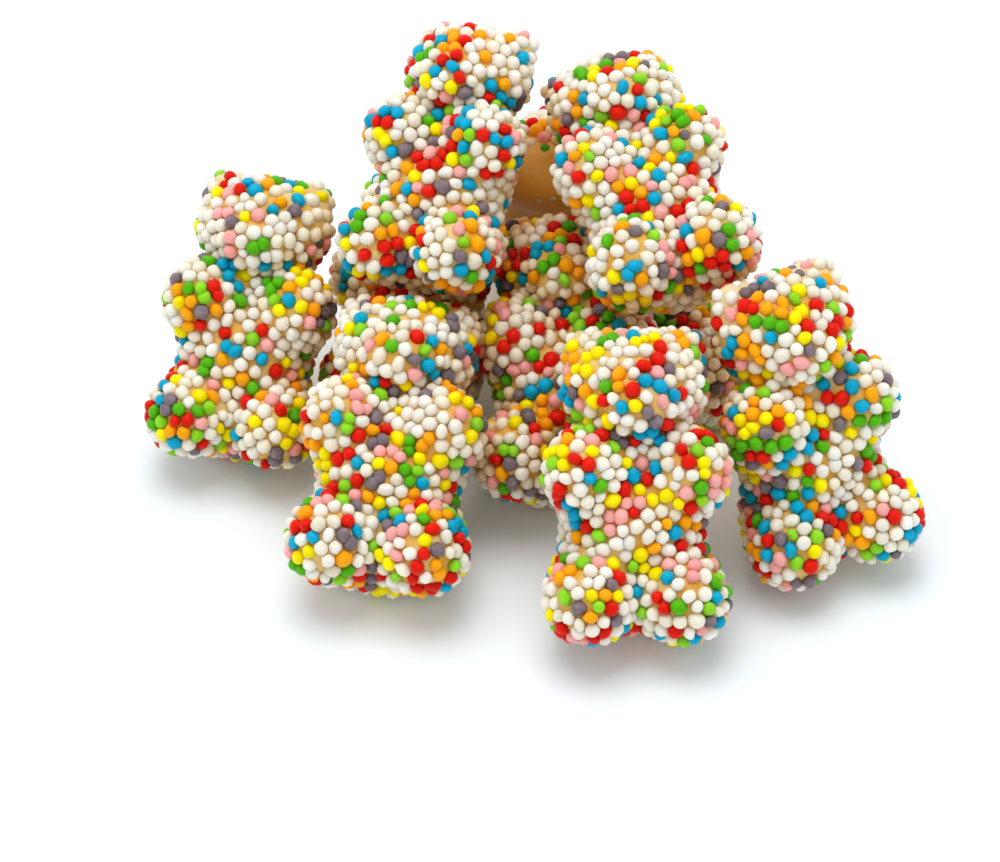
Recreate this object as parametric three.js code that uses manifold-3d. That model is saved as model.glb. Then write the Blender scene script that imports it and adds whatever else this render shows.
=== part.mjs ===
// A small heap of gummy bears, each coated all over with round sugar nonpareils. Millimetres, +Z up.
// Ten bears lean on one another: each is one closed solid out to the tops of its sugar beads, and a narrow
// gap is left where two of them touch. The origin is at the middle of the heap's footprint, on the surface it
// lies on, with +X to the right and +Y to the back of the heap.
import * as THREE from "three";
import { mergeVertices } from "three/addons/utils/BufferGeometryUtils.js";
import Module from "manifold-3d";

// ---- driving dimensions of one bear, standing on its feet: +Z to the head, -Y to the belly, +X to its left hand
const HEAD = { up: 9.35, half: [7.1, 5.5, 5.6] };
const EAR = { side: 4.4, back: 0.6, up: 12.8, half: [2.3, 2.0, 2.1] };
const SNOUT = { front: 4.6, up: 7.9, half: [3.7, 2.5, 3.1] };
const TORSO = { up: -0.8, half: [7.3, 5.5, 8.6] };
const BELLY = { front: 2.0, up: -3.4, half: [6.2, 4.7, 5.2] };
const HIPS = { up: -8.0, half: [7.7, 5.4, 6.2] };
const ARM = { side: 4.6, front: 2.9, up: 1.6, half: [4.4, 4.4, 4.5] };
const LEG = { side: 4.3, front: 3.5, up: -10.0, half: [4.6, 5.0, 4.8] };
const LIMB_FILLET = 1.9; // how softly one rounded form runs into the next
const FLAT_BACK = { at: 5.0, edge: 1.6 }; // the moulded back is flat, with a rounded rim
const FLAT_FEET = { at: -14.5, edge: 1.2 };

// ---- the net each bear is drawn with
const AROUND = 26; // points in a ring
const RINGS = 17; // rings from the feet to the head
const CAPSULE = { radius: 6.0, low: -8.5, high: 8.5 }; // the rings' rays leave from this line
const REACH = 14.0; // no point of the bear is farther than this along a ray

// ---- how the heap lies
const SLAB = { side: 60, deep: 12 }; // the ground: a bear that dips into it is pared to a small flat spot

// name, place of the bear's middle, turn about the vertical, lean from upright, turn about its own length, scale
const HEAP = [
  ["bear_front_centre", [11.97, -20.57, 11.78], -0.6, 37.2, 5, 0.973],
  ["bear_front_left", [-9.69, -13.34, 9.71], -8.3, 55.2, 1.5, 0.971],
  ["bear_left", [-23.22, 3.08, 10.94], -12.3, 41.4, 4.1, 0.935],
  ["bear_right", [27.25, -12.73, 12.71], 26.6, 25.7, -2.3, 0.975],
  ["bear_middle", [6.05, -1.43, 9.51], 0.1, 57.1, -1.2, 0.976],
  ["bear_middle_left", [-7.93, 9.15, 8.6], -4.4, 58.2, -12.2, 0.889],
  ["bear_low_right", [17.31, 9.55, 4.24], 37, 90.8, -3.5, 0.921],
  ["bear_top_left", [-4.48, 9.62, 24.7], -14.9, 52.5, -13.4, 0.9],
  ["bear_top_right", [13.17, 5.97, 24.96], 17.8, 69.6, -7.6, 0.93],
  ["bear_rear", [4.66, 21.97, 11.08], -177, 35.3, -4.2, 0.903],
];

// the rounded forms that run together into one bear: middle and half sizes
const pair = (f) => [
  [[-f.side, f.back ?? -f.front, f.up], f.half],
  [[f.side, f.back ?? -f.front, f.up], f.half],
];
const FORMS = [
  [[0, -0.2, HEAD.up], HEAD.half],
  ...pair(EAR),
  [[0, -SNOUT.front, SNOUT.up], SNOUT.half],
  [[0, 0.2, TORSO.up], TORSO.half],
  [[0, -BELLY.front, BELLY.up], BELLY.half],
  [[0, 0.2, HIPS.up], HIPS.half],
  ...pair(ARM),
  ...pair(LEG),
];

// near-distance from a point to one ellipsoid, below zero inside it
function toEllipsoid(p, [c, r]) {
  const q = [0, 1, 2].map((i) => (p[i] - c[i]) / r[i]);
  const k0 = Math.hypot(...q) + 1e-9;
  const k1 = Math.hypot(...q.map((v, i) => v / r[i])) + 1e-9;
  return (k0 * (k0 - 1)) / k1;
}
const clamp01 = (v) => Math.min(1, Math.max(0, v));
function softMin(a, b, k) {
  const h = clamp01(0.5 + (0.5 * (a - b)) / k);
  return a * (1 - h) + b * h - k * h * (1 - h);
}
function softMax(a, b, k) {
  const h = clamp01(0.5 - (0.5 * (a - b)) / k);
  return a * (1 - h) + b * h + k * h * (1 - h);
}

// how far a point is outside the bear's skin
function bearField(p) {
  let d = toEllipsoid(p, FORMS[0]);
  for (const form of FORMS.slice(1))
    d = softMin(d, toEllipsoid(p, form), LIMB_FILLET);
  d = softMax(d, p[1] - FLAT_BACK.at, FLAT_BACK.edge);
  return softMax(d, FLAT_FEET.at - p[2], FLAT_FEET.edge);
}

// the skin's point on a ray: march in from outside, then halve the step that crosses it
function onSkin(from, along) {
  const at = (t) => from.map((v, i) => v + along[i] * t);
  let out = REACH;
  while (out > 0 && bearField(at(out)) >= 0) out -= 0.125;
  let inside = out,
    outside = out + 0.125;
  for (let i = 0; i < 26; i++) {
    const mid = (inside + outside) / 2;
    if (bearField(at(mid)) < 0) inside = mid;
    else outside = mid;
  }
  return at((inside + outside) / 2);
}

// one bear in its own frame, as rings of points whose rays leave a capsule's middle line evenly
function bearGeometry(scale) {
  const { radius, low, high } = CAPSULE;
  const cap = 0.5 * Math.PI * radius,
    straight = high - low;
  const points = [],
    faces = [];
  for (let r = 1; r <= RINGS; r++) {
    const s = (r / (RINGS + 1)) * (2 * cap + straight);
    let z = low,
      tilt = -0.5 * Math.PI + s / radius;
    if (s >= cap && s < cap + straight) {
      z = low + s - cap;
      tilt = 0;
    } else if (s >= cap + straight) {
      z = high;
      tilt = (s - cap - straight) / radius;
    }
    for (let c = 0; c < AROUND; c++) {
      const turn = (2 * Math.PI * c) / AROUND;
      points.push(
        onSkin(
          [0, 0, z],
          [
            Math.cos(tilt) * Math.sin(turn),
            -Math.cos(tilt) * Math.cos(turn),
            Math.sin(tilt),
          ],
        ),
      );
    }
  }
  const foot = points.push(onSkin([0, 0, low], [0, 0, -1])) - 1;
  const crown = points.push(onSkin([0, 0, high], [0, 0, 1])) - 1;
  for (let c = 0; c < AROUND; c++) {
    const d = (c + 1) % AROUND;
    for (let r = 0; r < RINGS - 1; r++) {
      const a = r * AROUND,
        b = a + AROUND;
      faces.push(a + c, a + d, b + d, a + c, b + d, b + c);
    }
    const top = (RINGS - 1) * AROUND;
    faces.push(foot, d, c, crown, top + c, top + d);
  }
  const geometry = new THREE.BufferGeometry();
  geometry.setAttribute(
    "position",
    new THREE.Float32BufferAttribute(points.flat().map((v) => v * scale), 3),
  );
  geometry.setIndex(faces);
  return geometry;
}

const wasm = await Module();
wasm.setup();
function solidOf(geometry) {
  const bare = geometry.clone();
  bare.deleteAttribute("normal");
  bare.deleteAttribute("uv");
  const merged = mergeVertices(bare, 1e-4);
  return new wasm.Manifold(
    new wasm.Mesh({
      numProp: 3,
      vertProperties: merged.attributes.position.array,
      triVerts: new Uint32Array(merged.index.array),
    }),
  );
}
function geometryOf(solid) {
  const m = solid.getMesh();
  const geometry = new THREE.BufferGeometry();
  geometry.setAttribute(
    "position",
    new THREE.BufferAttribute(new Float32Array(m.vertProperties), 3),
  );
  geometry.setIndex(new THREE.BufferAttribute(new Uint32Array(m.triVerts), 1));
  geometry.computeVertexNormals();
  return geometry;
}

// the ground as a thick slab whose top is at z = 0, seen from a bear's own frame
function groundFor(mesh) {
  const slab = new THREE.BoxGeometry(SLAB.side, SLAB.side, SLAB.deep);
  slab.translate(mesh.position.x, mesh.position.y, -SLAB.deep / 2);
  return slab.applyMatrix4(mesh.matrix.clone().invert());
}

const DEG = Math.PI / 180;
const X = new THREE.Vector3(1, 0, 0),
  Z = new THREE.Vector3(0, 0, 1);
const heap = new THREE.Group();
for (const [name, place, turn, lean, spin, scale] of HEAP) {
  const mesh = new THREE.Mesh(
    bearGeometry(scale),
    new THREE.MeshStandardMaterial({
      color: new THREE.Color(0.9, 0.86, 0.76),
      roughness: 0.45,
      metalness: 0,
    }),
  );
  mesh.name = name;
  mesh.position.set(...place);
  mesh.quaternion
    .setFromAxisAngle(Z, turn * DEG)
    .multiply(new THREE.Quaternion().setFromAxisAngle(X, -lean * DEG))
    .multiply(new THREE.Quaternion().setFromAxisAngle(Z, spin * DEG));
  mesh.updateMatrix();
  const lowest = new THREE.Box3().setFromObject(mesh, true).min.z;
  if (lowest < 0)
    mesh.geometry = geometryOf(
      solidOf(mesh.geometry).subtract(solidOf(groundFor(mesh))),
    );
  heap.add(mesh);
}

// move the heap so that the middle of its footprint is at the origin
heap.updateMatrixWorld(true);
const box = new THREE.Box3().setFromObject(heap, true);
heap.position.set(-(box.min.x + box.max.x) / 2, -(box.min.y + box.max.y) / 2, 0);

export default heap;
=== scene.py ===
import math

import bpy
import numpy as np
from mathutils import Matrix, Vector
from mathutils.bvhtree import BVHTree


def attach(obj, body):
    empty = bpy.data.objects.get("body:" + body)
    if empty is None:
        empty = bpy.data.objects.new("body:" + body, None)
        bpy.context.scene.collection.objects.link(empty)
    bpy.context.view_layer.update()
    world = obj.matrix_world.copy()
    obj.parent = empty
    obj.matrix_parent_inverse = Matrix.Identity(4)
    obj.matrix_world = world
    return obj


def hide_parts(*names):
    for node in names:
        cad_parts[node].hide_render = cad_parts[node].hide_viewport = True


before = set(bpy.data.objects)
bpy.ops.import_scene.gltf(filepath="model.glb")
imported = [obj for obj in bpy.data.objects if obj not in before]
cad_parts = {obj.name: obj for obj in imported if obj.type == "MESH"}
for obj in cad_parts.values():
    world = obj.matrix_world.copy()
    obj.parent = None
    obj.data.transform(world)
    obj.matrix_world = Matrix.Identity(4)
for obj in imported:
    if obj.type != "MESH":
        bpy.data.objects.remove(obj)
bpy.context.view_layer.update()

MM = 0.001

# ------------------------------------------------------------------ the heap's named sizes (millimetres)
# One bear stands on its feet: +Z to the head, -Y to the belly. These repeat the frame's own sizes.
HEAD_UP, EAR_SIDE, EAR_UP = 9.35, 4.4, 12.8
FORMS = [
    ((0, -0.2, HEAD_UP), (7.1, 5.5, 5.6)),
    ((-EAR_SIDE, 0.6, EAR_UP), (2.3, 2.0, 2.1)), ((EAR_SIDE, 0.6, EAR_UP), (2.3, 2.0, 2.1)),
    ((0, -4.6, 7.9), (3.7, 2.5, 3.1)),
    ((0, 0.2, -0.8), (7.3, 5.5, 8.6)),
    ((0, -2.0, -3.4), (6.2, 4.7, 5.2)),
    ((0, 0.2, -8.0), (7.7, 5.4, 6.2)),
    ((-4.6, -2.9, 1.6), (4.4, 4.4, 4.5)), ((4.6, -2.9, 1.6), (4.4, 4.4, 4.5)),
    ((-4.3, -3.5, -10.0), (4.6, 5.0, 4.8)), ((4.3, -3.5, -10.0), (4.6, 5.0, 4.8)),
]
FILLET = 1.9
BACK_AT, BACK_EDGE = 5.0, 1.6
FEET_AT, FEET_EDGE = -14.5, 1.2

# node, place, turn, lean, spin, scale: the same table as the frame's
HEAP = [
    ("bear_front_centre", (11.97, -20.57, 11.78), -0.6, 37.2, 5, 0.973),
    ("bear_front_left", (-9.69, -13.34, 9.71), -8.3, 55.2, 1.5, 0.971),
    ("bear_left", (-23.22, 3.08, 10.94), -12.3, 41.4, 4.1, 0.935),
    ("bear_right", (27.25, -12.73, 12.71), 26.6, 25.7, -2.3, 0.975),
    ("bear_middle", (6.05, -1.43, 9.51), 0.1, 57.1, -1.2, 0.976),
    ("bear_middle_left", (-7.93, 9.15, 8.6), -4.4, 58.2, -12.2, 0.889),
    ("bear_low_right", (17.31, 9.55, 4.24), 37, 90.8, -3.5, 0.921),
    ("bear_top_left", (-4.48, 9.62, 24.7), -14.9, 52.5, -13.4, 0.9),
    ("bear_top_right", (13.17, 5.97, 24.96), 17.8, 69.6, -7.6, 0.93),
    ("bear_rear", (4.66, 21.97, 11.08), -177, 35.3, -4.2, 0.903),
]
SHIFT = np.array([-2.841778, -0.035198, 0.0])  # from the table's origin to the middle of the footprint

# the sugar coat
BEAD = 0.68           # mean radius of a nonpareil
BEAD_SPREAD = 0.055
COVER = 0.87          # share of the skin that the first beads to land take up
FILL = 0.82           # how far below the beads' tops the gummy between them lies
GLAZED_FILL = 0.36    # the same where dried milky glaze fills the gaps, on the flanks and in patches
BACK_FILL = 0.13      # and on the flat back, where the few beads are pressed in flush
BARE = {"bear_rear": 3.1}  # the one whose coat missed more of its back

# ------------------------------------------------------------------ the bear's form as a distance field
def field(p):
    d = None
    for c, r in FORMS:
        q = (p - np.array(c, float)) / np.array(r, float)
        k0 = np.sqrt((q * q).sum(-1)) + 1e-9
        q = q / np.array(r, float)
        k1 = np.sqrt((q * q).sum(-1)) + 1e-9
        e = k0 * (k0 - 1.0) / k1
        if d is None:
            d = e
        else:
            h = np.clip(0.5 + 0.5 * (d - e) / FILLET, 0, 1)
            d = d * (1 - h) + e * h - FILLET * h * (1 - h)
    for cut, k in ((p[..., 1] - BACK_AT, BACK_EDGE), (FEET_AT - p[..., 2], FEET_EDGE)):
        h = np.clip(0.5 - 0.5 * (d - cut) / k, 0, 1)
        d = d * (1 - h) + cut * h + k * h * (1 - h)
    return d


def slope(p, e=0.02):
    g = np.stack([field(p + np.eye(3)[i] * e) - field(p - np.eye(3)[i] * e) for i in range(3)], -1) / (2 * e)
    n = np.linalg.norm(g, axis=-1, keepdims=True) + 1e-9
    return g / n, n[..., 0]


def smooth(a, b, x):
    t = np.clip((x - a) / (b - a), 0, 1)
    return t * t * (3 - 2 * t)


def lumps(p, seed, size=3.2):
    """A slow bumpy value of about -1 to 1 at each point."""
    rng = np.random.default_rng(seed)
    v = 0
    for _ in range(5):
        k = rng.normal(size=3)
        k *= 2 * math.pi / size / np.linalg.norm(k) * rng.uniform(0.7, 1.4)
        v = v + np.sin(p @ k + rng.uniform(0, 6.28))
    return v / 2.6


def flush(p, bare=0.0):
    """1 on the flat back and the back of the head, 0 elsewhere: how far the beads are pressed in there.
    A bear whose coat missed more of its back has a larger bare value, in millimetres."""
    head = smooth(3.0, 6.0, p[..., 2])
    side = smooth(2.5, 6.5, np.abs(p[..., 0]))
    return smooth(2.3 - 1.5 * head - bare * (1 - 0.6 * side), 4.2 - 1.1 * head - bare * (1 - 0.6 * side), p[..., 1])


def glazed(p, seed):
    """0 where the gaps between the beads are bare gummy, 1 where dried glaze fills them."""
    patch = smooth(0.05, 0.75, lumps(p, seed, 5.0))
    return np.clip(0.8 * smooth(-4.2, 2.2, p[..., 1]) + 0.3 * patch, 0, 1)


def gummy_depth(p, seed, bare=0.0):
    back = flush(p, bare)
    return (FILL + (GLAZED_FILL - FILL) * glazed(p, seed)) * (1 - back) + BACK_FILL * back


def capsule_rays(nu, nv, radius=6.0, low=-8.5, high=8.5):
    cap, run = 0.5 * math.pi * radius, high - low
    o, d = [], []
    for s in np.arange(1, nv + 1) / (nv + 1.0) * (2 * cap + run):
        if s < cap:
            z, a = low, -0.5 * math.pi + s / radius
        elif s < cap + run:
            z, a = low + s - cap, 0.0
        else:
            z, a = high, (s - cap - run) / radius
        for t in np.arange(nu) / nu * 2 * math.pi:
            o.append((0, 0, z))
            d.append((math.cos(a) * math.sin(t), -math.cos(a) * math.cos(t), math.sin(a)))
    o += [(0, 0, low), (0, 0, high)]
    d += [(0, 0, -1), (0, 0, 1)]
    return np.array(o, float), np.array(d, float)


def grid_faces(nu, nv):
    c = np.arange(nu)
    n = (c + 1) % nu
    quads = np.concatenate([np.stack([r * nu + c, r * nu + n, (r + 1) * nu + n, (r + 1) * nu + c], 1) for r in range(nv - 1)])
    foot, crown = nv * nu, nv * nu + 1
    tris = np.concatenate([
        np.stack([np.full(nu, foot), n, c], 1),
        np.stack([np.full(nu, crown), (nv - 1) * nu + c, (nv - 1) * nu + n], 1),
    ])
    return quads, tris


def skin(nu, nv, depth):
    """Points where each ray from the capsule line meets the surface that lies depth(p) under the skin."""
    o, d = capsule_rays(nu, nv)
    ts = np.linspace(14, 0, 113)
    p = o[:, None] + d[:, None] * ts[None, :, None]
    f = field(p) + depth(p)
    i = (f < 0).argmax(1)
    lo, hi = ts[i], ts[np.maximum(i - 1, 0)]
    for _ in range(18):
        m = 0.5 * (lo + hi)
        q = o + d * m[:, None]
        inside = field(q) + depth(q) < 0
        lo, hi = np.where(inside, m, lo), np.where(inside, hi, m)
    return o + d * ((lo + hi) / 2)[:, None]


def to_level(p, level, steps=3):
    for _ in range(steps):
        n, g = slope(p)
        p = p - n * ((field(p) - level) / np.maximum(g, 0.4))[:, None]
    return p


# ------------------------------------------------------------------ where the beads lie on one bear
def settle(p, r, twin, level, steps):
    """Push beads that overlap apart, along the skin, and keep bonded pairs together."""
    rest = (r[:, None] + r[None, :]) * 0.955
    has = np.nonzero(twin >= 0)[0]
    rest[has, twin[has]] *= 0.76
    rest = np.minimum(rest, rest.T)
    for step in range(steps):
        d = p[:, None] - p[None]
        dist = np.sqrt((d * d).sum(-1)) + 1e-6
        move = np.maximum(0, rest - dist)
        move[has, twin[has]] += np.minimum(0, rest - dist)[has, twin[has]] * 0.8
        np.fill_diagonal(move, 0)
        p = p + ((move / dist * 0.36)[..., None] * d).sum(1)
        if step % 3 == 2 or step > steps - 3:
            p = to_level(p, level, 1)
    return p


def scatter(seed, scale, bare=0.0):
    """Centres, radii, normals, colours and bonds of one bear's beads, in its own frame and size."""
    rng = np.random.default_rng(seed)
    v = skin(40, 28, lambda p: BEAD + 0 * p[..., 0])
    quads, tris = grid_faces(40, 28)
    t = np.concatenate([quads[:, [0, 1, 2]], quads[:, [0, 2, 3]], tris])
    a, b, c = v[t[:, 0]], v[t[:, 1]], v[t[:, 2]]
    area = 0.5 * np.linalg.norm(np.cross(b - a, c - a), axis=1)
    share = area / area.sum()
    r0, level = BEAD / scale, -BEAD / scale

    def on_skin(n):
        k = rng.choice(len(t), n, p=share)
        u = rng.random((n, 2))
        over = u.sum(1) > 1
        u[over] = 1 - u[over]
        return a[k] + (b - a)[k] * u[:, :1] + (c - a)[k] * u[:, 1:]

    def gaps(p, r, least, apart, chance=1.0):
        q = on_skin(5200)
        gap = (np.sqrt(((q[:, None] - p[None]) ** 2).sum(-1)) - r[None]).min(1)
        found, wide = [], []
        for i in np.argsort(-gap):
            if gap[i] < least:
                break
            if all(((q[i] - e) ** 2).sum() > apart ** 2 for e in found):
                if rng.random() < chance:
                    found.append(q[i])
                    wide.append(gap[i])
        return np.array(found).reshape(-1, 3), np.array(wide)

    n = int(COVER * area.sum() / (math.pi * r0 * r0 * 1.02))
    r = np.clip(rng.normal(r0, BEAD_SPREAD / scale, n), 0.78 * r0, 1.28 * r0)
    p = on_skin(n)
    # pairs that ran together while they were wet keep close and share a colour
    twin = np.full(n, -1)
    for i in rng.permutation(n)[: int(0.08 * n)]:
        if twin[i] < 0:
            free = np.nonzero(twin < 0)[0]
            free = free[free != i]
            j = free[np.argmin(((p[free] - p[i]) ** 2).sum(1))]
            twin[i], twin[j] = j, i
    p = settle(p, r, twin, level, 26)
    # more beads land in the gaps and shoulder in
    for least in (0.62, 0.52):
        more, wide = gaps(p, r, least * r0, 1.7 * r0)
        if len(more):
            p = np.concatenate([p, more])
            r = np.concatenate([r, np.clip(wide + 0.22 * r0, 0.76 * r0, 1.05 * r0)])
            twin = np.concatenate([twin, np.full(len(more), -1)])
        p = settle(p, r, twin, level, 15)
    # smaller beads deeper in the gaps that are left
    n = len(p)
    more, wide = gaps(p, r, 0.3 / scale, 1.05 / scale, 0.8)
    if len(more):
        p = np.concatenate([p, to_level(more, -0.85 / scale, 2)])
        r = np.concatenate([r, rng.uniform(0.72, 0.9, len(more)) * r0])
        twin = np.concatenate([twin, np.full(len(more), -1)])
    # most of the flat back is bare gummy
    back = flush(p + slope(p)[0] * BEAD, bare)
    keep = rng.random(len(p)) > 0.8 * smooth(0.35, 1.0, back)
    number = np.cumsum(keep) - 1
    twin = np.where((twin >= 0) & keep[np.maximum(twin, 0)], number[np.maximum(twin, 0)], -1)
    low = (np.arange(len(p)) >= n)[keep]
    p, r, twin, back = p[keep], r[keep], twin[keep], back[keep]
    # tops of the beads close to the nominal skin, a little up or down
    top = np.clip(rng.normal(0, 0.065, len(p)) - 0.16 * low, -0.34, 0.12) * (1 - back) + rng.normal(-0.03, 0.025, len(p)) * back
    normal, g = slope(p)
    p = p - normal * ((field(p) + r - top / scale) / np.maximum(g, 0.4))[:, None]
    # colours: whites most often, in drifts
    names = list(SHARES)
    weights = np.array([SHARES[k] for k in names], float)
    pale = np.array([k.startswith("white") for k in names])
    drift = np.exp(0.55 * lumps(p, seed + 9, 6.5))[:, None]
    w = weights[None] * np.where(pale[None], drift, 1.0 - 0.45 * glazed(p, seed - 3)[:, None])
    w = np.cumsum(w / w.sum(1, keepdims=True), axis=1)
    colour = (rng.random((len(p), 1)) > w).sum(1).clip(0, len(names) - 1)
    for i in np.nonzero(twin >= 0)[0]:
        if twin[i] > i:
            colour[twin[i]] = colour[i]
    return dict(p=p, r=r, n=normal, colour=colour, twin=twin, low=low, back=back)


# name of each bead colour and how many in a hundred have it
SHARES = dict(white=34, white_b=14, red=9.5, orange=8, yellow=7.5, lime=4.5, grass=4.5, blue=7, pink=6.5, plum=6)


# ------------------------------------------------------------------ bead shapes
def ball(seg, rings):
    """A unit ball with its pole up, rings closer together at the top where it shows."""
    ang = np.linspace(0, math.pi, rings + 2)[1:-1]
    ang = ang * (0.86 + 0.14 * ang / math.pi)
    v = [(0, 0, 1)]
    for k, a in enumerate(ang):
        for s in range(seg):
            t = 2 * math.pi * (s + 0.5 * (k % 2)) / seg
            v.append((math.sin(a) * math.cos(t), math.sin(a) * math.sin(t), math.cos(a)))
    v.append((0, 0, -1))
    c = np.arange(seg)
    n = (c + 1) % seg
    last = 1 + rings * seg
    f = [np.stack([np.zeros(seg, int), 1 + c, 1 + n], 1)]
    for k in range(rings - 1):
        u, d = 1 + k * seg, 1 + (k + 1) * seg
        if k % 2 == 0:
            f += [np.stack([u + c, d + c, u + n], 1), np.stack([d + c, d + n, u + n], 1)]
        else:
            f += [np.stack([u + c, d + c, d + n], 1), np.stack([u + c, d + n, u + n], 1)]
    f.append(np.stack([np.full(seg, last), last - seg + n, last - seg + c], 1))
    return np.array(v, float), np.concatenate(f)


LEVELS = [ball(14, 6), ball(11, 4), ball(8, 3)]


def frames(n):
    a = np.where(np.abs(n[:, 2:3]) < 0.9, np.array([[0, 0, 1.0]]), np.array([[1.0, 0, 0]]))
    x = np.cross(a, n)
    x /= np.linalg.norm(x, axis=1, keepdims=True)
    return x, np.cross(n, x)


def bead_mesh(beads, level, seed, scale):
    """Vertices, faces and per-vertex values of all the beads of one bear that use one level of detail."""
    rng = np.random.default_rng(seed)
    unit, faces = LEVELS[level]
    idx = np.nonzero(beads["level"] == level)[0]
    if not len(idx):
        return None
    p, r, n = beads["p"], beads["r"], beads["n"]
    x, y = frames(n[idx])
    turn = rng.uniform(0, 2 * math.pi, len(idx))
    x, y = x * np.cos(turn)[:, None] + y * np.sin(turn)[:, None], y * np.cos(turn)[:, None] - x * np.sin(turn)[:, None]
    oval = np.abs(rng.normal(0, 0.06, len(idx))) + np.where(rng.random(len(idx)) < 0.2, rng.uniform(0.08, 0.24, len(idx)), 0)
    sx, sy = r[idx] * (1 + oval * 0.75), r[idx] * (1 - oval * 0.7)
    sz = r[idx] * rng.uniform(0.93, 1.03, len(idx))
    v = (unit[None, :, 0:1] * (x * sx[:, None])[:, None] + unit[None, :, 1:2] * (y * sy[:, None])[:, None]
         + unit[None, :, 2:3] * (n[idx] * sz[:, None])[:, None])
    # slow unevenness of each bead
    for _ in range(3):
        k = rng.normal(size=(len(idx), 1, 3)) * 2.3
        v = v * (1 + 0.03 * np.sin((v / r[idx][:, None, None] * k).sum(-1) + rng.uniform(0, 6.28, (len(idx), 1))))[..., None]
    # flats and shallow dents left by beads that were pressed against it
    for chance, lo, hi in ((0.45, 0.80, 0.94), (0.3, 0.76, 0.92), (0.15, 0.72, 0.88)):
        up = rng.uniform(0.05, 0.95, len(idx))
        t = rng.uniform(0, 6.28, len(idx))
        s = np.sqrt(1 - up * up)
        d = n[idx] * up[:, None] + x * (s * np.cos(t))[:, None] + y * (s * np.sin(t))[:, None]
        h = np.where(rng.random(len(idx)) < chance, rng.uniform(lo, hi, len(idx)), 9.0) * r[idx]
        over = np.maximum(0, (v * d[:, None]).sum(-1) - h[:, None])
        v = v - d[:, None] * (over * 0.88)[..., None]
    v = v + p[idx][:, None]
    # neighbours press flat against each other
    d2 = ((p[idx][:, None] - p[None]) ** 2).sum(-1)
    d2[np.arange(len(idx)), idx] = 1e9
    tw = beads["twin"][idx]
    d2[np.nonzero(tw >= 0)[0], tw[tw >= 0]] = 1e9
    near = np.argsort(d2, axis=1)[:, :7]
    for k in range(7):
        j = near[:, k]
        dist = np.sqrt(d2[np.arange(len(idx)), j])
        u = (p[j] - p[idx]) / dist[:, None]
        at = (dist ** 2 + r[idx] ** 2 - r[j] ** 2) / (2 * dist)
        at = np.where(dist < r[idx] + r[j], at - 0.012, 9.0)
        over = np.maximum(0, ((v - p[idx][:, None]) * u[:, None]).sum(-1) - at[:, None])
        v = v - u[:, None] * (over * 0.93)[..., None]
    flat = v.reshape(-1, 3)
    depth = np.clip(-field(flat) * scale / 1.15, 0, 1)  # 0 at the beads' tops, 1 down by the gummy
    f = (faces[None] + (np.arange(len(idx)) * len(unit))[:, None, None]).reshape(-1, 3)
    per = lambda a: np.repeat(a[idx], len(unit))
    return flat, f, np.repeat(beads["colour"][idx], len(faces)), depth, per(beads["shade"]), per(beads["tone"])


# ------------------------------------------------------------------ placing
def turning(turn, lean, spin):
    turn, lean, spin = np.radians([turn, lean, spin])
    rz = lambda a: np.array([[math.cos(a), -math.sin(a), 0], [math.sin(a), math.cos(a), 0], [0, 0, 1]])
    rx = lambda a: np.array([[1, 0, 0], [0, math.cos(a), -math.sin(a)], [0, math.sin(a), math.cos(a)]])
    return rz(turn) @ rx(-lean) @ rz(spin)


def place(p, bear):
    return p * bear["scale"] @ bear["R"].T + bear["at"]


def home(p, bear):
    return (p - bear["at"]) @ bear["R"] / bear["scale"]


# ------------------------------------------------------------------ materials
def lin(c):
    c = np.array(c, float)
    return tuple(np.where(c <= 0.04045, c / 12.92, ((c + 0.055) / 1.055) ** 2.4)) + (1.0,)


class Nodes:
    def __init__(self, name):
        self.m = bpy.data.materials.new(name)
        self.m.use_nodes = True
        self.t = self.m.node_tree
        self.t.nodes.clear()
        self.out = self.add("ShaderNodeOutputMaterial")
        self.bsdf = self.add("ShaderNodeBsdfPrincipled")
        self.t.links.new(self.bsdf.outputs[0], self.out.inputs["Surface"])

    def add(self, kind, **props):
        n = self.t.nodes.new(kind)
        for k, v in props.items():
            setattr(n, k, v)
        return n

    def set(self, sock, value):
        if hasattr(value, "is_linked"):
            self.t.links.new(value, sock)
        else:
            sock.default_value = value

    def attribute(self, name):
        return self.add("ShaderNodeAttribute", attribute_name=name).outputs["Fac"]

    def noise(self, scale, detail=2.0, rough=0.5, coords=None, distortion=0.0):
        n = self.add("ShaderNodeTexNoise")
        n.inputs["Scale"].default_value = scale
        n.inputs["Detail"].default_value = detail
        n.inputs["Roughness"].default_value = rough
        n.inputs["Distortion"].default_value = distortion
        self.set(n.inputs["Vector"], coords or self.coords())
        return n.outputs["Fac"]

    def coords(self):
        if not hasattr(self, "_c"):
            self._c = self.add("ShaderNodeTexCoord").outputs["Object"]
        return self._c

    def span(self, value, a, b, c, d):
        n = self.add("ShaderNodeMapRange")
        for s, v in zip(("Value", "From Min", "From Max", "To Min", "To Max"), (value, a, b, c, d)):
            self.set(n.inputs[s], v)
        return n.outputs["Result"]

    def math(self, op, a, b=0.0):
        n = self.add("ShaderNodeMath", operation=op)
        self.set(n.inputs[0], a)
        self.set(n.inputs[1], b)
        return n.outputs[0]

    def mix(self, fac, a, b, blend="MIX"):
        n = self.add("ShaderNodeMix", data_type="RGBA", blend_type=blend)
        self.set(n.inputs["Factor"], fac)
        self.set(n.inputs[6], a)
        self.set(n.inputs[7], b)
        return n.outputs[2]

    def bump(self, height, strength, distance):
        n = self.add("ShaderNodeBump")
        n.inputs["Strength"].default_value = strength
        n.inputs["Distance"].default_value = distance
        self.set(n.inputs["Height"], height)
        self.set(self.bsdf.inputs["Normal"], n.outputs[0])


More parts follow.
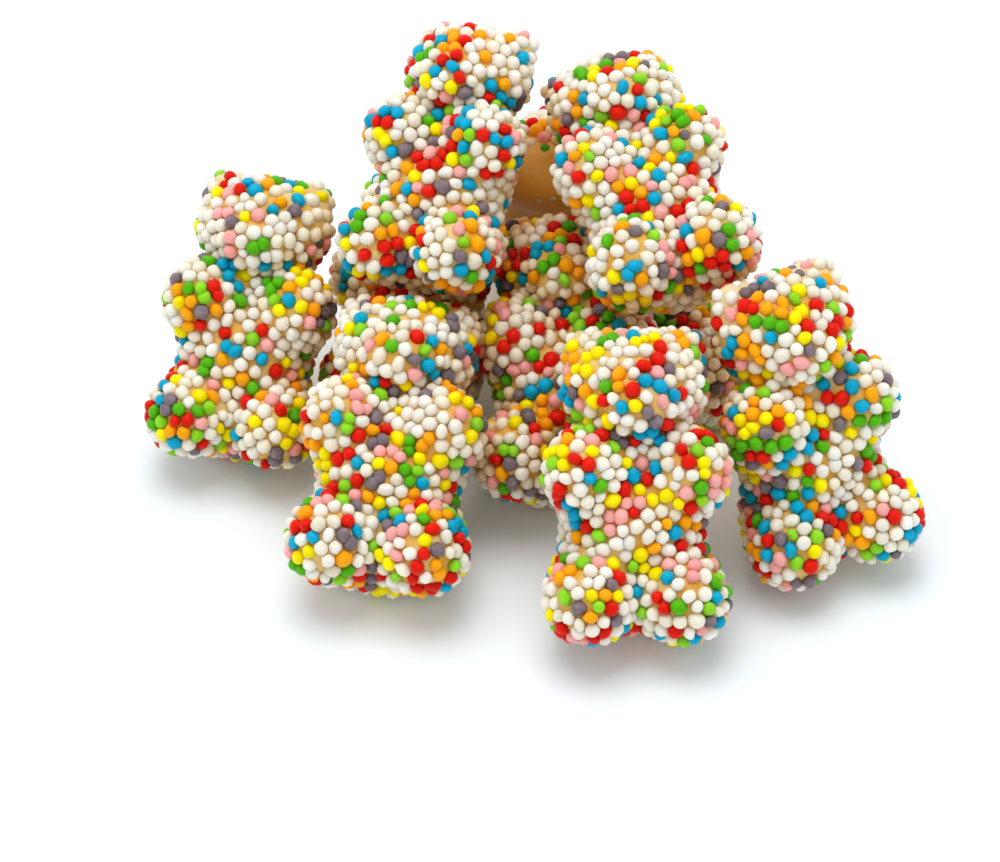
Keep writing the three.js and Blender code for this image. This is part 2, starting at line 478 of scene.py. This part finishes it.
def bead_material(name, top, sunk_and_shaded, mottle, mottle_amount, subsurface, radius, rough=0.33):
    """One colour of glazed sugar bead: full colour on top, warmer and darker where it sinks into the gummy (partly the
    gummy's own colour, partly painted shade) and where the sweets around shut it in (painted shade).
    """
    k = Nodes("nonpareil_" + name)
    depth, shade, tone = k.attribute("depth"), k.attribute("shade"), k.attribute("tone")
    # painted shade: the colour goes toward the darker, warmer second colour with depth in the gummy (partly real gummy
    # colour) and with how shut in the bead is
    sunk_and_painted_shade = k.math("ADD", k.math("MULTIPLY", k.span(depth, 0.12, 1.0, 0.0, 1.0), 0.62), k.math("MULTIPLY", shade, 0.85))
    colour = k.mix(k.span(sunk_and_painted_shade, 0.0, 1.0, 0.0, 1.0), lin(top), lin(sunk_and_shaded))
    spots = k.noise(1500.0, 3.0, 0.6)
    colour = k.mix(k.math("MULTIPLY", k.span(spots, 0.42, 0.68, 0.0, 1.0), mottle_amount), colour, lin(mottle))
    level = k.math("ADD", 1.0, k.math("MULTIPLY", tone, 0.075))
    grey = k.add("ShaderNodeCombineColor")
    for i in range(3):
        k.set(grey.inputs[i], level)
    colour = k.mix(1.0, colour, grey.outputs[0], "MULTIPLY")
    k.set(k.bsdf.inputs["Base Color"], colour)
    k.bsdf.inputs["Subsurface Weight"].default_value = subsurface
    k.bsdf.inputs["Subsurface Radius"].default_value = radius
    k.bsdf.inputs["Subsurface Scale"].default_value = 0.0009
    k.set(k.bsdf.inputs["Roughness"], k.span(k.noise(900.0, 2.0), 0.3, 0.7, rough - 0.07, rough + 0.1))
    k.bsdf.inputs["Specular IOR Level"].default_value = 0.26
    k.bsdf.inputs["Specular Tint"].default_value = tuple(0.3 + 0.7 * c for c in lin(top)[:3]) + (1.0,)
    k.bump(k.math("ADD", k.noise(2600.0, 3.0, 0.6), k.math("MULTIPLY", k.noise(900.0, 1.0), 1.5)), 0.45, 0.00007)
    return k.m


def gummy_material():
    """Chewy gummy with a skin of dried glaze: amber where it is bare, cream where the glaze is thick, with painted
    shade of warm amber where the sweets around shut it in.
    """
    k = Nodes("gummy_and_glaze")
    glaze, shade = k.attribute("glaze"), k.attribute("shade")
    patch = k.noise(420.0, 3.0, 0.55)
    cream = k.math("ADD", k.span(patch, 0.42, 0.62, -0.15, 0.2), glaze)
    colour = k.mix(k.span(cream, 0.0, 0.55, 0.0, 1.0), lin((0.90, 0.67, 0.25)), lin((0.92, 0.80, 0.54)))
    colour = k.mix(k.span(cream, 0.5, 1.0, 0.0, 1.0), colour, lin((0.94, 0.88, 0.73)))
    # painted shade: warmer amber where the other sweets shut the gummy in
    colour = k.mix(k.math("MULTIPLY", shade, 0.8), colour, lin((0.90, 0.66, 0.27)))
    k.set(k.bsdf.inputs["Base Color"], colour)
    k.bsdf.inputs["Subsurface Weight"].default_value = 0.4
    k.bsdf.inputs["Subsurface Radius"].default_value = (1.0, 0.55, 0.2)
    k.bsdf.inputs["Subsurface Scale"].default_value = 0.0010
    k.bsdf.inputs["Specular IOR Level"].default_value = 0.3
    k.set(k.bsdf.inputs["Roughness"], k.span(patch, 0.3, 0.7, 0.34, 0.5))
    k.bump(k.math("ADD", k.noise(1300.0, 3.0, 0.6), k.noise(420.0, 1.0)), 0.6, 0.00012)
    return k.m


MILK = (1.0, 0.78, 0.52)
# the second colour in each row is the sunk and shut-in colour: partly the gummy's own colour, partly painted shade
MATERIALS = {
    "white": bead_material("white", (0.95, 0.925, 0.88), (0.88, 0.71, 0.44), (0.94, 0.91, 0.85), 0.5, 0.7, MILK),
    "white_b": bead_material("cream", (0.935, 0.90, 0.83), (0.87, 0.69, 0.41), (0.92, 0.88, 0.78), 0.5, 0.75, MILK),
    "red": bead_material("red", (0.88, 0.10, 0.03), (0.66, 0.04, 0.0), (0.92, 0.16, 0.10), 0.35, 0.12, (1.0, 0.3, 0.2)),
    "orange": bead_material("orange", (1.0, 0.66, 0.04), (0.90, 0.48, 0.0), (1.0, 0.72, 0.14), 0.35, 0.15, (1.0, 0.6, 0.2)),
    "yellow": bead_material("yellow", (1.0, 0.93, 0.0), (0.88, 0.68, 0.0), (0.97, 0.86, 0.0), 0.35, 0.15, (1.0, 0.8, 0.2)),
    "lime": bead_material("lime", (0.55, 0.83, 0.12), (0.35, 0.53, 0.02), (0.63, 0.88, 0.30), 0.45, 0.12, (0.7, 1.0, 0.3)),
    "grass": bead_material("grass", (0.33, 0.70, 0.03), (0.20, 0.41, 0.0), (0.42, 0.76, 0.17), 0.45, 0.12, (0.7, 1.0, 0.3)),
    "blue": bead_material("blue", (0.0, 0.64, 0.80), (0.0, 0.42, 0.46), (0.14, 0.71, 0.84), 0.4, 0.12, (0.3, 0.8, 1.0)),
    "pink": bead_material("pink", (0.97, 0.66, 0.64), (0.88, 0.45, 0.32), (0.98, 0.76, 0.75), 0.4, 0.3, (1.0, 0.6, 0.5)),
    "plum": bead_material("plum", (0.48, 0.42, 0.44), (0.25, 0.17, 0.14), (0.62, 0.57, 0.60), 0.5, 0.1, (1.0, 0.7, 0.7)),
}
GUMMY = gummy_material()


def make_mesh(name, verts, faces, material_index, materials, values):
    me = bpy.data.meshes.new(name)
    me.vertices.add(len(verts))
    me.vertices.foreach_set("co", (verts * MM).astype(np.float32).ravel())
    sizes = np.concatenate([np.full(len(f), f.shape[1]) for f in faces])
    me.loops.add(int(sizes.sum()))
    me.loops.foreach_set("vertex_index", np.concatenate([f.ravel() for f in faces]).astype(np.int32))
    me.polygons.add(len(sizes))
    me.polygons.foreach_set("loop_start", np.concatenate([[0], np.cumsum(sizes)[:-1]]).astype(np.int32))
    for m in materials:
        me.materials.append(m)
    if material_index is not None:
        me.polygons.foreach_set("material_index", material_index.astype(np.int32))
    me.update(calc_edges=True)
    me.polygons.foreach_set("use_smooth", np.ones(len(sizes), bool))
    for key, val in values.items():
        at = me.attributes.new(name=key, type="FLOAT", domain="POINT")
        at.data.foreach_set("value", val.astype(np.float32))
    me.validate()
    ob = bpy.data.objects.new(name, me)
    bpy.context.scene.collection.objects.link(ob)
    return ob


# ------------------------------------------------------------------ the gummy bodies
bears = []
CORE_AROUND, CORE_RINGS = 64, 46
quads, tris = grid_faces(CORE_AROUND, CORE_RINGS)
for i, (node, at, turn, lean, spin, scale) in enumerate(HEAP):
    bear = dict(node=node, at=np.array(at, float) + SHIFT, R=turning(turn, lean, spin), scale=scale, seed=4100 + 17 * i)
    bear["bare"] = BARE.get(node, 0.0)
    core = skin(CORE_AROUND, CORE_RINGS, lambda p: gummy_depth(p, bear["seed"], bear["bare"]) / scale)
    bear["glaze"] = glazed(core, bear["seed"]) * (1 - (0.75 if bear["bare"] == 0 else 1.0) * flush(core, bear["bare"]))
    world = place(core, bear)
    world[:, 2] = np.maximum(world[:, 2], 0.05)
    bear["core"] = world
    bears.append(bear)

# how shut in a point is by the sweets around it: the share of directions that meet one; it sets how much painted shade
# the colours get
tri_all = np.concatenate([quads[:, [0, 1, 2]], quads[:, [0, 2, 3]], tris])
count = len(bears[0]["core"])
tree = BVHTree.FromPolygons(
    [Vector(v) for b in bears for v in b["core"]],
    [tuple(int(x) + k * count for x in t) for k in range(len(bears)) for t in tri_all],
    all_triangles=True,
)
gold = math.pi * (3 - math.sqrt(5))
RAYS = [(math.sqrt(1 - z * z) * math.cos(gold * k), math.sqrt(1 - z * z) * math.sin(gold * k), z)
        for k, z in enumerate(math.sqrt(1 - (j + 0.5) / 22) for j in range(22))]


def shut_in(points, normals, lift):
    x, y = frames(normals)
    out = np.zeros(len(points))
    for i, (p, n, a, b) in enumerate(zip(points, normals, x, y)):
        start = Vector(p + n * lift)
        hits = 0
        for u, v, w in RAYS:
            d = a * u + b * v + n * w
            if tree.ray_cast(start, Vector(d), 30.0)[0] is not None:
                hits += 1
        out[i] = hits / len(RAYS)
    return out


# ------------------------------------------------------------------ coats
total = 0
for bear in bears:
    scale = bear["scale"]
    beads = scatter(bear["seed"] + 3, scale, bear["bare"])
    rng = np.random.default_rng(bear["seed"] + 5)
    wp, wn = place(beads["p"], bear), beads["n"] @ bear["R"].T
    # beads at the ground sit on it
    low = wp[:, 2] - beads["r"] * scale
    wp[:, 2] += np.maximum(0, 0.02 - low)
    beads["p"] = home(wp, bear)
    shut = shut_in(wp, wn, 0.95)
    # painted shade: how strongly the bead's colour is darkened and warmed for being shut in
    beads["shade"] = smooth(0.28, 0.95, shut)
    beads["tone"] = np.clip(rng.normal(0, 0.55, len(wp)), -1.6, 1.2)
    level = np.where((wn[:, 2] < -0.45) | (shut > 0.86) | beads["low"], 2, np.where((wn[:, 1] > 0.45) | (shut > 0.66) | (wn[:, 2] < -0.1), 1, 0))
    beads["level"] = level
    parts = [m for m in (bead_mesh(beads, lv, bear["seed"] + 7 + lv, scale) for lv in range(3)) if m]
    start = np.cumsum([0] + [len(m[0]) for m in parts])
    verts = place(np.concatenate([m[0] for m in parts]), bear)
    verts[:, 2] = np.maximum(verts[:, 2], 0.0)
    faces = np.concatenate([m[1] + s for m, s in zip(parts, start)])
    coat = make_mesh(
        bear["node"].replace("bear", "nonpareils"), verts, [faces], np.concatenate([m[2] for m in parts]),
        [MATERIALS[k] for k in SHARES],
        dict(depth=np.concatenate([m[3] for m in parts]), shade=np.concatenate([m[4] for m in parts]), tone=np.concatenate([m[5] for m in parts])),
    )
    core = bear["core"]
    home_core = home(core, bear)
    n_core = slope(home_core)[0] @ bear["R"].T
    pick = np.arange(0, len(core), 3)
    # painted shade on the gummy, from how shut in it is
    shade = np.interp(np.arange(len(core)), pick, smooth(0.28, 0.95, shut_in(core[pick], n_core[pick], 1.6)))
    body = make_mesh(
        bear["node"].replace("bear", "gummy"), core, [quads, tris], None, [GUMMY],
        dict(glaze=bear["glaze"], shade=shade),
    )
    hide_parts(bear["node"])
    for piece in (body, coat):
        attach(piece, "root")
    total += len(faces) + 2 * len(quads) + len(tris)
    print("PIECE", bear["node"], "beads", len(wp), "low", int(beads["low"].sum()), "levels", np.bincount(level, minlength=3).tolist(), "tris", len(faces))
print("TRIANGLES", total)

# ------------------------------------------------------------------ surroundings
floor_mesh = bpy.data.meshes.new("floor")
floor_mesh.from_pydata([(-3, -3, 0), (3, -3, 0), (3, 3, 0), (-3, 3, 0)], [], [(0, 1, 2, 3)])
floor = bpy.data.objects.new("floor", floor_mesh)
bpy.context.scene.collection.objects.link(floor)
k = Nodes("floor_white")
k.set(k.bsdf.inputs["Base Color"], k.mix(k.span(k.noise(2.0, 2.0), 0.3, 0.7, 0.0, 1.0), (0.88, 0.935, 0.98, 1), (0.90, 0.95, 0.99, 1)))
k.bsdf.inputs["Roughness"].default_value = 0.9
k.bsdf.inputs["Specular IOR Level"].default_value = 0.1
floor_mesh.materials.append(k.m)

scene = bpy.context.scene
world = bpy.data.worlds.new("soft_studio")
scene.world = world
world.use_nodes = True
world.node_tree.nodes["Background"].inputs["Color"].default_value = (0.94, 0.975, 1.0, 1)
world.node_tree.nodes["Background"].inputs["Strength"].default_value = 0.79


def softbox(name, place_m, aim_m, side, watts, colour=(1, 1, 1)):
    data = bpy.data.lights.new(name, "AREA")
    data.shape = "SQUARE"
    data.size = side
    data.energy = watts
    data.color = colour
    ob = bpy.data.objects.new(name, data)
    ob.location = place_m
    ob.rotation_euler = (Vector(aim_m) - Vector(place_m)).to_track_quat("-Z", "Y").to_euler()
    scene.collection.objects.link(ob)
    return ob


softbox("key", (-0.07, 0.09, 0.87), (0, 0, 0), 0.62, 4.35, (1.0, 0.985, 0.965))

cam_data = bpy.data.cameras.new("camera")
cam_data.sensor_fit = "HORIZONTAL"
cam_data.sensor_width = 36.0
cam_data.lens = 5088.0 / 1000.0 * 36.0
cam_data.clip_start = 0.01
cam_data.clip_end = 10.0
camera = bpy.data.objects.new("camera", cam_data)
ELEVATION, DISTANCE = math.radians(42.0), 0.480
target = Vector(tuple(SHIFT * MM))
camera.location = target + Vector((0, -math.cos(ELEVATION), math.sin(ELEVATION))) * DISTANCE
camera.rotation_euler = (target - camera.location).to_track_quat("-Z", "Y").to_euler()
scene.collection.objects.link(camera)
scene.camera = camera

scene.view_settings.view_transform = "Standard"
scene.view_settings.look = "None"
scene.view_settings.exposure = 0.0
scene.view_settings.gamma = 1.0

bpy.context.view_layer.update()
